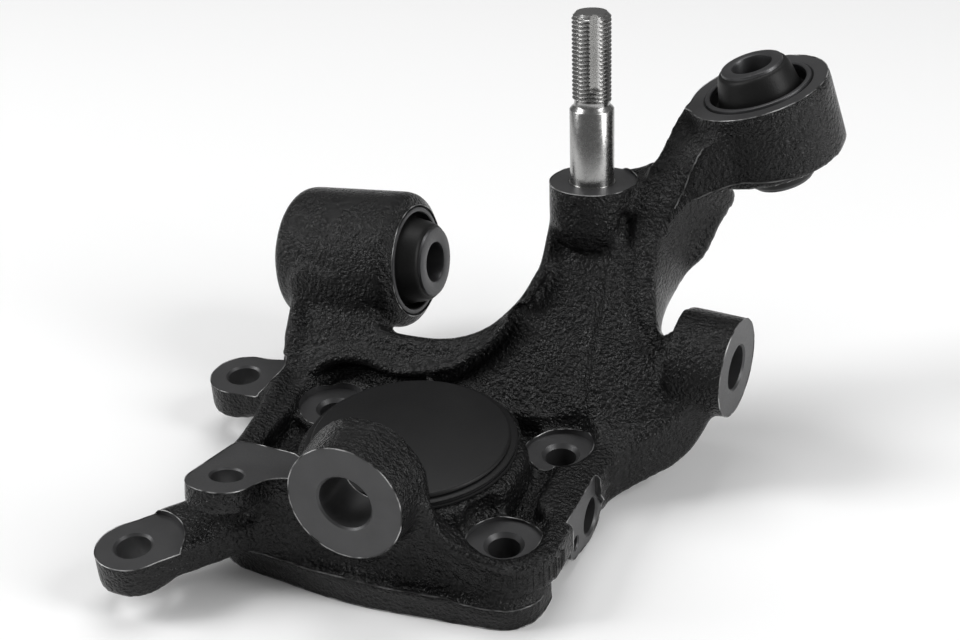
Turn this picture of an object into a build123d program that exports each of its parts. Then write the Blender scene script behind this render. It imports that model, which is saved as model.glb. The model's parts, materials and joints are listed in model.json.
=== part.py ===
"""Rear steering knuckle with two bonded bushes, a shock stud and a hub dust cap.

Millimetres. The origin is the hub axis on the hub's mounting face, +Z points
to the capped side, +X runs along the long side of the hub bolt rectangle and
+Y towards the stud tower.
"""

import os
from math import cos, radians, sin, tan

from build123d import *

# ---------------------------------------------------------------- hub
hub_bore_dia = 66.0
collar_dia = 82.0
collar_height = 30.5
collar_round = 3.0
bolt_span_x = 90.8
bolt_span_y = 53.4
bolt_hole_dia = 11.0
spotface_dia = 25.0
spotface_height = 19.0
bolt_pad_dia = 29.0
bolt_pad_step = 1.2

# dust cap pressed in the bore
cap_top = 35.0
cap_dia = 70.0
cap_rim_dia = 75.0
cap_seat_dia = 68.0
cap_skirt = 10.0
cap_wall = 3.0
cap_step = 0.9
cap_edge = 0.9

# mounting flange, with a bulged front and a waist between its bolt lobes
flange_height = 7.5
flange_flare = 7.0
flange_half_x = 61.5
flange_front = 45.5
flange_bulge = 6.5
flange_back = 46.5
flange_corner = 14.0
flange_left_corner = 21.0
flange_bulge_round = 150.0
flange_waist_radius = 32.0
flange_waist_depth = 12.0

# rimmed tray over the flange
tray_base = 12.0
tray_height = 24.5
tray_floor = 15.0
tray_half_x = 65.5
tray_front = 43.5
tray_back = 50.0
tray_corner = 14.0
tray_wave = 30.0
pocket_half_x = 57.0
pocket_half_y = 38.5
pocket_corner = 16.0
pocket_depth_over = 32.0

# ---------------------------------------------------------------- back plate
# one plate leans back from the tray and carries the left bush and the tower
plate_lean = 38.3
plate_foot_y = 15.9
plate_thickness = 14.0
plate_left_x = -75.0
plate_bottom = 27.0
plate_edge_round = 3.0
web_recess = 4.0
cheek_top = 74.0
cheek_corner = 5.0
cheek_pad_top = 61.5
cheek_pad_y = 52.5
saddle_low = 54.2
saddle_left_x = -44.0
saddle_left_top = 68.0
tower_left_x = 21.5
tower_top = 125.0

# right wall of the tower, and its arm to the right bush
arm_depth = 28.0
arm_inner_x = 44.0
arm_foot_x = 76.0
arm_foot_up = 38.2
arm_heel_x = 79.3
arm_heel_up = 142.2
arm_tip_x = 75.5
arm_tip_up = 168.0
arm_neck_up = 125.0
arm_back_foot_x = 58.0
arm_back_foot_up = 61.0
arm_back_heel_x = 88.0
arm_back_heel_up = 134.0
arm_back_tip_x = 82.0
arm_back_tip_up = 162.0
groove_depth = 1.6

# ---------------------------------------------------------------- stud
camber = 5.8
stud_lean_x = -1.4
stud_x = 36.0
stud_y = 89.8
stud_seat_height = 95.9
stud_shank_dia = 16.0
stud_shank_length = 29.0
stud_press_dia = 17.0
stud_press_length = 18.0
stud_thread_dia = 14.0
stud_thread_length = 31.5
stud_neck_dia = 13.0
stud_neck_length = 2.0
stud_chamfer = 1.5
stud_slot_depth = 1.7
stud_slot_turn = -56.0
stud_slot_length = 27.0
stud_boss_dia = 31.4
stud_boss_depth = 12.0

# ---------------------------------------------------------------- bushes
left_bush_x = -25.2
left_bush_y = 81.0
left_bush_z = 56.3
left_bush_tilt = 5.5
left_housing_dia = 53.0
left_housing_length = 49.5
left_housing_round = 5.0
left_bush_outer_dia = 41.5
left_bush_inner_dia = 26.6
left_bush_bore_dia = 15.0
left_bush_stickout = 8.8
left_bush_back_stickout = 5.0
right_bush_x = 88.7
right_bush_y = 118.7
right_bush_z = 126.8
right_bush_lean_x = -16.3
right_bush_lean_y = 4.2
right_housing_dia = 51.2
right_housing_length = 28.0
right_housing_round = 1.0
right_bush_outer_dia = 38.6
right_bush_inner_dia = 22.4
right_bush_bore_dia = 14.2
right_bush_stickout = 9.5
right_bush_back_stickout = 9.0
bush_outer_wall = 1.8
bush_edge_chamfer = 1.0

# ---------------------------------------------------------------- bosses
front_boss_x = 4.0
front_boss_face_y = -56.0
front_boss_z = 47.0
front_boss_dia = 40.6
front_boss_root_dia = 44.0
front_boss_bore = 18.6
front_boss_length = 18.5
front_boss_rise = 4.0
right_boss_face_x = 99.0
right_boss_y = 62.0
right_boss_z = 45.0
right_boss_dia = 36.0
right_boss_bore = 16.0
right_boss_length = 21.5
right_boss_turn = 5.0
sensor_face_x = 63.2
sensor_y = 8.1
sensor_z = 9.8
sensor_bore = 13.0
sensor_boss_dia = 19.0
sensor_screw_y = -6.9
sensor_screw_z = 9.3
sensor_screw_dia = 5.0
sensor_screw_boss_dia = 12.0
sensor_screw_depth = 14.0

# ---------------------------------------------------------------- lugs
lug_hole_dia = 12.0
lug_radius = 13.0
lug_face_height = 22.0
lug_underside = 10.0
arm_underside = 12.5
rear_lug = (-87.0, 31.7)
front_lug = (-69.6, -71.5)
middle_lug = (-42.4, -50.9, 43.4)
middle_lug_hole_dia = 11.0
middle_lug_radius = 12.0
middle_lug_reach = 27.0
middle_lug_thickness = 8.5
middle_lug_lean = 13.5

# ---------------------------------------------------------------- planes
plate_plane = Plane(
    origin=(0, plate_foot_y, 0),
    x_dir=(1, 0, 0),
    z_dir=(0, -cos(radians(plate_lean)), sin(radians(plate_lean))),
)
stud_plane = Plane(
    origin=(stud_x, stud_y, stud_seat_height),
    x_dir=(1, 0, 0),
    z_dir=(tan(radians(stud_lean_x)), tan(radians(camber)), 1),
)
left_bush_plane = Plane(
    origin=(left_bush_x, left_bush_y, left_bush_z),
    x_dir=(0, 1, 0),
    z_dir=(cos(radians(left_bush_tilt)), 0, sin(radians(left_bush_tilt))),
).offset(-left_bush_stickout)
right_bush_plane = Plane(
    origin=(right_bush_x, right_bush_y, right_bush_z),
    x_dir=(0, 1, 0),
    z_dir=(tan(radians(right_bush_lean_x)), -tan(radians(right_bush_lean_y)), 1),
)
front_boss_plane = Plane(
    origin=(front_boss_x, front_boss_face_y, front_boss_z),
    x_dir=(1, 0, 0),
    z_dir=(0, -cos(radians(front_boss_rise)), sin(radians(front_boss_rise))),
)
right_boss_plane = Plane(
    origin=(right_boss_face_x, right_boss_y, right_boss_z),
    x_dir=(sin(radians(right_boss_turn)), cos(radians(right_boss_turn)), 0),
    z_dir=(cos(radians(right_boss_turn)), -sin(radians(right_boss_turn)), 0),
)
sensor_plane = Plane(
    origin=(sensor_face_x, sensor_y, sensor_z), x_dir=(0, 1, 0), z_dir=(1, 0, 0)
)
middle_lug_plane = Plane(
    origin=middle_lug,
    x_dir=(1, 0, 0),
    z_dir=(0, sin(radians(middle_lug_lean)), cos(radians(middle_lug_lean))),
)

sensor_screw_plane = Plane(
    origin=(sensor_face_x, sensor_screw_y, sensor_screw_z),
    x_dir=(0, 1, 0),
    z_dir=(1, 0, 0),
)
bolt_places = GridLocations(bolt_span_x, bolt_span_y, 2, 2)


def turned(plane, outline):
    """Revolve a closed (radius, height) outline about a plane's own normal."""
    side = Plane(origin=plane.origin, x_dir=plane.x_dir, z_dir=-plane.y_dir)
    with BuildPart() as ring:
        with BuildSketch(side):
            with BuildLine():
                Polyline(*outline, close=True)
            make_face()
        revolve(axis=Axis(plane.origin, plane.z_dir))
    return ring.part


def barrel(plane, diameter, length, edge):
    """A round housing under a plane, with rounded rims."""
    with BuildPart() as housing:
        with BuildSketch(plane):
            Circle(diameter / 2)
        extrude(amount=-length)
        fillet(housing.edges().filter_by(GeomType.CIRCLE), edge)
    return housing.part


# ---------------------------------------------------------------- elbow
# arm to the right boss: a side profile trimmed by a diagonal plan outline
with BuildSketch(Plane.YZ.offset(45)) as elbow_side:
    with BuildLine():
        Spline(
            (14, 0.5),
            (28, 0.8),
            (45, 6),
            (57, 10.5),
            (66, 15),
            (74, 25),
            (79.5, 40),
            (79.8, 47),
        )
        Polyline((79.8, 47), (53.5, 47))
        Spline((53.5, 47), (45.5, 37), (39.8, 30), (28, 24.5))
        Polyline((28, 24.5), (14, 24.5), (14, 0.5))
    make_face()
with BuildSketch(Plane.XY) as elbow_plan:
    with BuildLine():
        Polyline(
            (45, 14),
            (62.5, 14),
            (62.5, 27),
            (97, 54),
            (97, 82),
            (76, 82),
            (58, 52),
            (45, 45),
            close=True,
        )
    make_face()
with BuildSketch(Plane.XZ) as elbow_front:
    with BuildLine():
        Spline((45, 0), (62.5, 1.5), (73, 7), (80, 10), (86, 15), (91, 24), (96, 36))
        Polyline((96, 36), (97, 47), (45, 47), (45, 0))
    make_face()
elbow = (
    extrude(elbow_side.sketch, amount=60)
    & extrude(elbow_plan.sketch, amount=60)
    & extrude(elbow_front.sketch, amount=-90)
)

# ---------------------------------------------------------------- flange
with BuildPart() as flange_part:
    with BuildSketch() as flange_outline:
        with BuildLine():
            Polyline(
                (-flange_half_x, -flange_front),
                (0, -flange_front - flange_bulge),
                (flange_half_x, -flange_front),
                (flange_half_x, flange_back),
                (-flange_half_x, flange_back),
                close=True,
            )
        make_face()
        left_front = flange_outline.vertices().sort_by(Axis.X)[:2].sort_by(Axis.Y)[0]
        fillet(left_front, flange_left_corner)
        right = flange_outline.vertices().sort_by(Axis.X)[-2:]
        left_back = flange_outline.vertices().sort_by(Axis.Y)[-2:].sort_by(Axis.X)[0]
        fillet([*right, left_back], flange_corner)
        fillet(flange_outline.vertices().sort_by(Axis.Y)[0], flange_bulge_round)
    extrude(amount=flange_height)
    with BuildSketch(Plane.XY.offset(flange_height)):
        add(flange_outline.sketch)
    extrude(amount=flange_flare, taper=45)
    with BuildSketch() as waists:
        waist = flange_half_x + flange_waist_radius - flange_waist_depth
        with Locations((waist, 0), (-waist, 0)):
            Circle(flange_waist_radius)
    extrude(amount=flange_height + flange_flare, mode=Mode.SUBTRACT)
flange = flange_part.part

# ---------------------------------------------------------------- pedestal
# front wall under the boss and its gusset, trimmed to the tray's wavy front
with BuildSketch(Plane.XZ.offset(30)) as pedestal_front:
    with BuildLine():
        Polyline((-44, 14), (-41, 25), (-31, 33), (-17, 40), (4, 58), (24.5, 44))
        Spline((24.5, 44), (27.5, 35.5), (32.4, 30), (38.5, 27), (47, 24))
        Polyline((47, 24), (47, 14), (-44, 14))
    make_face()
with BuildSketch(Plane.XY) as pedestal_plan:
    with BuildLine():
        Polyline(
            (-46, -48),
            (-20, -46),
            (4, -45.5),
            (16, -44.5),
            (27, -43.5),
            (50, -43.5),
            (50, -41),
            (34, -34),
            (20, -37.8),
            (-46, -37.8),
            close=True,
        )
    make_face()
pedestal = extrude(pedestal_front.sketch, amount=20) & extrude(
    pedestal_plan.sketch, amount=60
)

# ---------------------------------------------------------------- casting
with BuildPart() as casting:
    # leaning back plate: left cheek, saddle between the bushes, tower
    with BuildSketch(plate_plane) as plate_outline:
        with BuildLine():
            Polyline(
                (saddle_left_x, saddle_left_top),
                (saddle_left_x - 12, cheek_top),
                (plate_left_x + cheek_corner, cheek_top),
                (plate_left_x, cheek_top - cheek_corner),
                (plate_left_x, plate_bottom),
                (60, plate_bottom),
                (60, tower_top),
                (tower_left_x, tower_top),
                (tower_left_x, 96),
            )
            Spline(
                (tower_left_x, 96),
                (20.8, 86),
                (14, 71.4),
                (4.3, 61.2),
                (-8.6, 55.6),
                (-20.6, saddle_low),
                (-31.1, saddle_low),
                (saddle_left_x, saddle_left_top),
                tangents=((0, -1), (-0.55, 1)),
            )
        make_face()
    extrude(amount=-plate_thickness)
    saddle_edges = (
        casting.faces()
        .filter_by(Axis(plate_plane.origin, plate_plane.z_dir))
        .sort_by(Axis(plate_plane.origin, plate_plane.z_dir))[-1]
        .edges()
        .filter_by(GeomType.BSPLINE)
    )
    fillet(saddle_edges, plate_edge_round)

    # right wall of the tower, carried up into the arm
    with BuildSketch(plate_plane) as arm_front:
        with BuildLine():
            Line((arm_inner_x, arm_foot_up), (arm_foot_x, arm_foot_up))
            Spline(
                (arm_foot_x, arm_foot_up),
                (75.5, 54.4),
                (66.2, 85.5),
                (65.6, 111),
                (arm_heel_x, arm_heel_up),
            )
            Line((arm_heel_x, arm_heel_up), (arm_tip_x, arm_tip_up))
            Spline(
                (arm_tip_x, arm_tip_up),
                (68, 160.5),
                (63.4, 152.5),
                (60.3, 143),
                (56.5, 131),
                (arm_inner_x, arm_neck_up),
            )
            Line((arm_inner_x, arm_neck_up), (arm_inner_x, arm_foot_up))
        make_face()
    with BuildSketch(plate_plane.offset(-arm_depth)) as arm_back:
        with BuildLine():
            Line((arm_inner_x, arm_back_foot_up), (arm_back_foot_x, arm_back_foot_up))
            Spline(
                (arm_back_foot_x, arm_back_foot_up),
                (63, 79),
                (69.5, 95),
                (77, 112),
                (arm_back_heel_x, arm_back_heel_up),
            )
            Line((arm_back_heel_x, arm_back_heel_up), (arm_back_tip_x, arm_back_tip_up))
            Spline(
                (arm_back_tip_x, arm_back_tip_up),
                (72, 155),
                (66, 148),
                (62, 141),
                (57, 133),
                (arm_inner_x, arm_neck_up + 2),
            )
            Line((arm_inner_x, arm_neck_up + 2), (arm_inner_x, arm_back_foot_up))
        make_face()
    loft()

    # recessed web between the saddle's ridge and the right-hand rib
    with BuildSketch(plate_plane) as web:
        with BuildLine():
            Spline(
                (-24, plate_bottom - 4),
                (-20, 40.5),
                (-10.2, 44.3),
                (2.6, 50.7),
                (11.7, 63.5),
                (19, 75),
                (28, 92),
            )
            Polyline((28, 92), (42, 94))
            Spline((42, 94), (45.9, 78.5), (46.6, 60.2), (47.4, 42), (52, 36))
            Polyline((52, 36), (52, plate_bottom - 4), (-24, plate_bottom - 4))
        make_face()
    extrude(amount=-web_recess, mode=Mode.SUBTRACT)

    # grooves beside the cheek's edge strip and the tower's right-hand rib
    with BuildSketch(plate_plane) as cheek_groove:
        with BuildLine():
            Polyline(
                (plate_left_x + 6, cheek_top - 38),
                (plate_left_x + 10, cheek_top - 22),
                (plate_left_x + 9, cheek_top - 14),
                (plate_left_x + 6, cheek_top - 14),
                close=True,
            )
        make_face()
    extrude(amount=-groove_depth, mode=Mode.SUBTRACT)
    with BuildSketch(plate_plane) as groove:
        with BuildLine():
            Spline((50.3, 116), (53.6, 101.8), (57.2, 80.3), (61.2, 66.4), (66.6, 58.2))
            Spline((66.6, 58.2), (58.6, 63), (53.2, 78), (50.2, 98), (50.3, 116))
        make_face()
    extrude(amount=-groove_depth, mode=Mode.SUBTRACT)

    add(flange)

    # tray over it
    with BuildSketch(Plane.XY.offset(tray_base)) as tray_outline:
        with BuildLine():
            Polyline(
                (-tray_half_x, tray_back),
                (-tray_half_x, -40),
                (-52, -50),
                (0, -44.5),
                (24, -tray_front + 3),
                (tray_half_x, -tray_front),
                (tray_half_x, 22),
                (tray_half_x, tray_back),
                close=True,
            )
        make_face()
        fillet(tray_outline.vertices().group_by(Axis.X)[-1].sort_by(Axis.Y)[0], tray_corner)
        fillet(tray_outline.vertices().filter_by_position(Axis.X, -1, 25), tray_wave)
    extrude(amount=tray_height - tray_base)

    # arms out to the front and rear lugs
    for lug, root, root_radius in (
        (front_lug, (-46.0, -42.0), 13.0),
        (rear_lug, (-62.0, 34.0), 14.0),
    ):
        with BuildSketch(Plane.XY.offset(arm_underside)):
            with Locations(lug):
                Circle(lug_radius - 0.5)
            with Locations(root):
                Circle(root_radius)
            make_hull()
        extrude(amount=tray_height - arm_underside)
        with BuildSketch(Plane.XY.offset(lug_face_height)):
            with Locations(lug):
                Circle(lug_radius + 4.5)
        extrude(amount=tray_height, mode=Mode.SUBTRACT)
        with BuildSketch(Plane.XY.offset(lug_underside)):
            with Locations(lug):
                Circle(lug_radius)
        extrude(amount=lug_face_height - lug_underside)

    # tray pocket, open round the bolt pads
    with BuildSketch(Plane.XY.offset(tray_floor)) as pocket:
        RectangleRounded(2 * pocket_half_x, 2 * pocket_half_y, pocket_corner)
    extrude(amount=pocket_depth_over - tray_floor, mode=Mode.SUBTRACT)
    with BuildSketch(Plane.XY.offset(flange_height)) as pads:
        with bolt_places:
            Circle(bolt_pad_dia / 2)
    extrude(amount=spotface_height + bolt_pad_step - flange_height)
    with BuildSketch(Plane.XZ) as collar:
        with BuildLine():
            Polyline(
                (0, flange_height),
                (collar_dia / 2 + 1, flange_height),
                (collar_dia / 2, collar_height - collar_round),
            )
            RadiusArc(
                (collar_dia / 2, collar_height - collar_round),
                (collar_dia / 2 - collar_round, collar_height),
                -collar_round,
            )
            Polyline(
                (collar_dia / 2 - collar_round, collar_height),
                (0, collar_height),
                (0, flange_height),
            )
        make_face()
    revolve(axis=Axis.Z)

    # sensor boss through the rim
    with BuildSketch(Plane.XY.offset(flange_height - 2)) as sensor_block:
        with Locations((sensor_face_x - 6, 4)):
            RectangleRounded(16, 30, 6)
    extrude(amount=tray_height - flange_height + 2)
    with BuildSketch(sensor_plane) as sensor_pad:
        Circle(sensor_boss_dia / 2)
        with Locations((sensor_screw_y - sensor_y, sensor_screw_z - sensor_z)):
            Circle(sensor_screw_boss_dia / 2)
        make_hull()
    extrude(amount=-24)

    # stud boss, ending in a ball against the web
    with BuildSketch(stud_plane) as stud_boss:
        Circle(stud_boss_dia / 2)
    extrude(amount=-stud_boss_depth)
    with Locations(stud_plane.offset(-stud_boss_depth)):
        Sphere(stud_boss_dia / 2)

    # bush housings, the left one standing on the cheek's pad
    with BuildSketch(Plane.XZ.offset(-cheek_pad_y)) as cheek_pad:
        with BuildLine():
            Polyline(
                (plate_left_x, 40),
                (plate_left_x, cheek_pad_top - cheek_corner),
                (plate_left_x + cheek_corner, cheek_pad_top),
                (saddle_left_x - 12, cheek_pad_top - 2),
                (saddle_left_x, cheek_pad_top - 10),
                (saddle_left_x, 40),
                close=True,
            )
        make_face()
    extrude(amount=-20)
    add(barrel(left_bush_plane, left_housing_dia, left_housing_length, left_housing_round))
    add(
        barrel(
            right_bush_plane, right_housing_dia, right_housing_length, right_housing_round
        )
    )

    # front boss with a tapered root, on its pedestal
    with BuildSketch(front_boss_plane) as front_boss:
        Circle(front_boss_dia / 2)
    with BuildSketch(front_boss_plane.offset(-front_boss_length)):
        Circle(front_boss_root_dia / 2)
    loft()
    add(pedestal)

    # middle lug on the boss's left side
    with BuildSketch(middle_lug_plane) as middle_lug_outline:
        with BuildLine():
            Polyline(
                (-middle_lug_radius, middle_lug_reach),
                (-middle_lug_radius, -14.5),
                (9.5, -14.5),
                (13, 2.4),
                (17, 6.4),
                (28, 9),
                (28, 14),
                (11, middle_lug_reach - 1),
                close=True,
            )
        make_face()
        fillet(middle_lug_outline.vertices().group_by(Axis.Y)[0], 10.5)
        fillet(middle_lug_outline.vertices().sort_by(Axis.Y)[-1], 4)
    extrude(amount=-middle_lug_thickness)

    # right boss and its elbow arm
    with BuildSketch(right_boss_plane):
        Circle(right_boss_dia / 2)
    extrude(amount=-right_boss_length)
    add(elbow)

    # ---- machining
    with BuildSketch(Plane.XY) as bore:
        Circle(hub_bore_dia / 2)
    extrude(amount=collar_height + 5, mode=Mode.SUBTRACT)
    with BuildSketch(Plane.XY) as bolt_holes:
        with bolt_places:
            Circle(bolt_hole_dia / 2)
    extrude(amount=tray_height, mode=Mode.SUBTRACT)
    with BuildSketch(Plane.XY.offset(spotface_height)) as spotfaces:
        with bolt_places:
            Circle(spotface_dia / 2)
    extrude(amount=8, mode=Mode.SUBTRACT)
    with BuildSketch(Plane.XY) as lug_holes:
        with Locations(front_lug, rear_lug):
            Circle(lug_hole_dia / 2)
    extrude(amount=tray_height, mode=Mode.SUBTRACT)
    with BuildSketch(middle_lug_plane):
        with Locations((2, 6)):
            Rectangle(34, 46)
    extrude(amount=3, mode=Mode.SUBTRACT)
    with BuildSketch(middle_lug_plane):
        Circle(middle_lug_hole_dia / 2)
    extrude(amount=-middle_lug_thickness - 4, mode=Mode.SUBTRACT)
    with BuildSketch(front_boss_plane):
        Circle(front_boss_bore / 2)
    extrude(amount=-front_boss_length - 5, mode=Mode.SUBTRACT)
    with BuildSketch(right_boss_plane):
        Circle(right_boss_bore / 2)
    extrude(amount=-right_boss_length - 5, mode=Mode.SUBTRACT)
    with BuildSketch(sensor_plane):
        Rectangle(40, 40)
    extrude(amount=6, mode=Mode.SUBTRACT)
    with BuildSketch(sensor_plane):
        Circle(sensor_bore / 2)
    extrude(amount=-32, mode=Mode.SUBTRACT)
    with BuildSketch(sensor_screw_plane):
        Circle(sensor_screw_dia / 2)
    extrude(amount=-sensor_screw_depth, mode=Mode.SUBTRACT)
    with BuildSketch(left_bush_plane.offset(left_bush_stickout)):
        Circle(left_bush_outer_dia / 2)
    extrude(amount=-left_housing_length - 20, mode=Mode.SUBTRACT)
    with BuildSketch(right_bush_plane.offset(right_bush_stickout)):
        Circle(right_bush_outer_dia / 2)
    extrude(amount=-right_housing_length - 20, mode=Mode.SUBTRACT)
    with BuildSketch(stud_plane):
        Circle(stud_boss_dia / 2 + 2)
    extrude(amount=30, mode=Mode.SUBTRACT)
    with BuildSketch(stud_plane):
        Circle(stud_press_dia / 2)
    extrude(amount=-stud_press_length, mode=Mode.SUBTRACT)
    with BuildSketch(Plane.XY.offset(collar_height - cap_skirt)) as cap_seat:
        Circle(cap_seat_dia / 2)
    extrude(amount=cap_skirt + 5, mode=Mode.SUBTRACT)


def bush(plane, length, outer_dia, inner_dia, bore_dia, stickout, back_stickout):
    """Inner sleeve, rubber and outer sleeve of a bush as long as its housing."""
    outer = outer_dia / 2
    wall = outer - bush_outer_wall
    inner = inner_dia / 2
    bore = bore_dia / 2
    edge = bush_edge_chamfer
    top = stickout
    end = -length - back_stickout
    inner_sleeve = turned(
        plane,
        [
            (bore, top - edge),
            (bore + edge, top),
            (inner - edge, top),
            (inner, top - edge),
            (inner, end + edge),
            (inner - edge, end),
            (bore + edge, end),
            (bore, end + edge),
        ],
    )
    rubber = turned(
        plane,
        [
            (inner, top - 2.0),
            (inner + 1.6, top - 2.6),
            (inner + 3.2, 1.5),
            (inner + 3.6, -3.0),
            (wall - 1.2, -4.0),
            (wall, -1.5),
            (wall, 1.5 - length),
            (wall - 1.2, 4.0 - length),
            (inner + 3.6, 3.0 - length),
            (inner + 3.2, -1.5 - length),
            (inner + 1.6, 2.6 + end),
            (inner, 2.0 + end),
        ],
    )
    outer_sleeve = turned(
        plane,
        [
            (wall, 0.8),
            (outer - 0.5, 0.8),
            (outer, 0.3),
            (outer, -length - 0.3),
            (outer - 0.5, -length - 0.8),
            (wall, -length - 0.8),
        ],
    )
    return inner_sleeve, rubber, outer_sleeve


# ---------------------------------------------------------------- bushes
left_inner_sleeve, left_rubber, left_outer_sleeve = bush(
    left_bush_plane,
    left_housing_length,
    left_bush_outer_dia,
    left_bush_inner_dia,
    left_bush_bore_dia,
    left_bush_stickout,
    left_bush_back_stickout,
)
right_inner_sleeve, right_rubber, right_outer_sleeve = bush(
    right_bush_plane,
    right_housing_length,
    right_bush_outer_dia,
    right_bush_inner_dia,
    right_bush_bore_dia,
    right_bush_stickout,
    right_bush_back_stickout,
)

# ---------------------------------------------------------------- stud
shank = stud_shank_dia / 2
thread = stud_thread_dia / 2
neck = stud_neck_dia / 2
thread_start = stud_shank_length + stud_neck_length
thread_end = thread_start + stud_thread_length
stud_blank = turned(
    stud_plane,
    [
        (0, -stud_press_length),
        (stud_press_dia / 2, -stud_press_length),
        (stud_press_dia / 2, 0),
        (shank, 0),
        (shank, stud_shank_length - stud_chamfer),
        (neck, stud_shank_length),
        (neck, thread_start),
        (thread, thread_start + 0.6),
        (thread, thread_end - stud_chamfer),
        (thread - stud_chamfer, thread_end),
        (0, thread_end),
    ],
)
with BuildPart() as stud:
    add(stud_blank)
    with BuildSketch(stud_plane.offset(thread_end)):
        with PolarLocations(thread, 1, start_angle=stud_slot_turn):
            RegularPolygon(stud_slot_depth, 4)
    extrude(amount=-stud_slot_length, mode=Mode.SUBTRACT)

# ---------------------------------------------------------------- cap
lip = collar_height
seat = cap_seat_dia / 2
rim = cap_rim_dia / 2
crown = cap_dia / 2
cap = turned(
    Plane.XY,
    [
        (0, cap_top - cap_wall),
        (seat - cap_wall - 2 * cap_edge, cap_top - cap_wall),
        (seat - cap_wall, cap_top - cap_wall - 2 * cap_edge),
        (seat - cap_wall, lip - cap_skirt),
        (seat, lip - cap_skirt),
        (seat, lip),
        (rim, lip),
        (rim, lip + cap_step),
        (rim - cap_step, lip + 1.2 * cap_step),
        (rim - cap_step, lip + 1.8 * cap_step),
        (rim - cap_step / 2, lip + 2 * cap_step),
        (rim - cap_step / 2, lip + 2.8 * cap_step),
        (crown - cap_step / 2, lip + 3 * cap_step),
        (crown, lip + 3.4 * cap_step),
        (crown, cap_top - cap_edge),
        (crown - cap_edge, cap_top),
        (0, cap_top),
    ],
)

nodes = {
    "knuckle_casting": casting.part,
    "left_bush_inner_sleeve": left_inner_sleeve,
    "left_bush_rubber": left_rubber,
    "left_bush_outer_sleeve": left_outer_sleeve,
    "right_bush_inner_sleeve": right_inner_sleeve,
    "right_bush_rubber": right_rubber,
    "right_bush_outer_sleeve": right_outer_sleeve,
    "shock_stud": stud.part,
    "hub_dust_cap": cap,
}
os.makedirs("parts", exist_ok=True)
for name, node in nodes.items():
    node.label = name
    export_step(node, f"parts/{name}.step")
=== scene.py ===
"""Looks of a cast rear steering knuckle: coated casting, bonded bushes, stud and dust cap.

Metres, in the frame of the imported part: the origin is the hub axis on the
mounting face, +Z towards the cap, +Y towards the stud tower.
"""

import json
import logging
import math
from dataclasses import dataclass, field
from enum import Enum

import bmesh
import bpy
from mathutils import Matrix, Vector

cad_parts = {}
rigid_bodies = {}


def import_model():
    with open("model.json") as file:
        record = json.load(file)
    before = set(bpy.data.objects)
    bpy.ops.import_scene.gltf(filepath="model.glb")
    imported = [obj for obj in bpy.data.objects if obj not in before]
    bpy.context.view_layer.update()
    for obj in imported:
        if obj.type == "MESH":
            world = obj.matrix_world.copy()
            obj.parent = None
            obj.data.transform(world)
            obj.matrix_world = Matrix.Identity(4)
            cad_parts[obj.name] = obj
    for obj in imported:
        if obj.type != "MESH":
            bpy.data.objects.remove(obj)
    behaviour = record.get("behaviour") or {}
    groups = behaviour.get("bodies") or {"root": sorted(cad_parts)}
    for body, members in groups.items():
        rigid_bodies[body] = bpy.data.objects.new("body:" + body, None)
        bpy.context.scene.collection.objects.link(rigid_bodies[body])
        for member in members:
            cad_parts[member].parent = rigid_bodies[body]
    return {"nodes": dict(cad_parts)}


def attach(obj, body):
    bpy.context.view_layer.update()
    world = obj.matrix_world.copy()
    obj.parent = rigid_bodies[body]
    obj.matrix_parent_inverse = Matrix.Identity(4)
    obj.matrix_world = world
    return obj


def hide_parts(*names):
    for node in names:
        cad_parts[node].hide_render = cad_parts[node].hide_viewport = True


LOG = logging.getLogger("knuckle")
MM = 0.001
ROOT = "root"
PLATE_LEAN = math.radians(38.3)
PLATE_FOOT = 15.9
BOLT_X, BOLT_Y = 45.4, 26.7
LEFT_RADIUS, LEFT_LENGTH, LEFT_PROUD = 20.75, 49.5, 8.8
RIGHT_RADIUS, RIGHT_LENGTH = 19.3, 28
PRESS_RADIUS, PRESS_DEPTH = 8.5, 18.0


def mm(*values: float) -> Vector:
    """A point or direction given in millimetres, in metres."""
    return Vector(values) * MM


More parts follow.
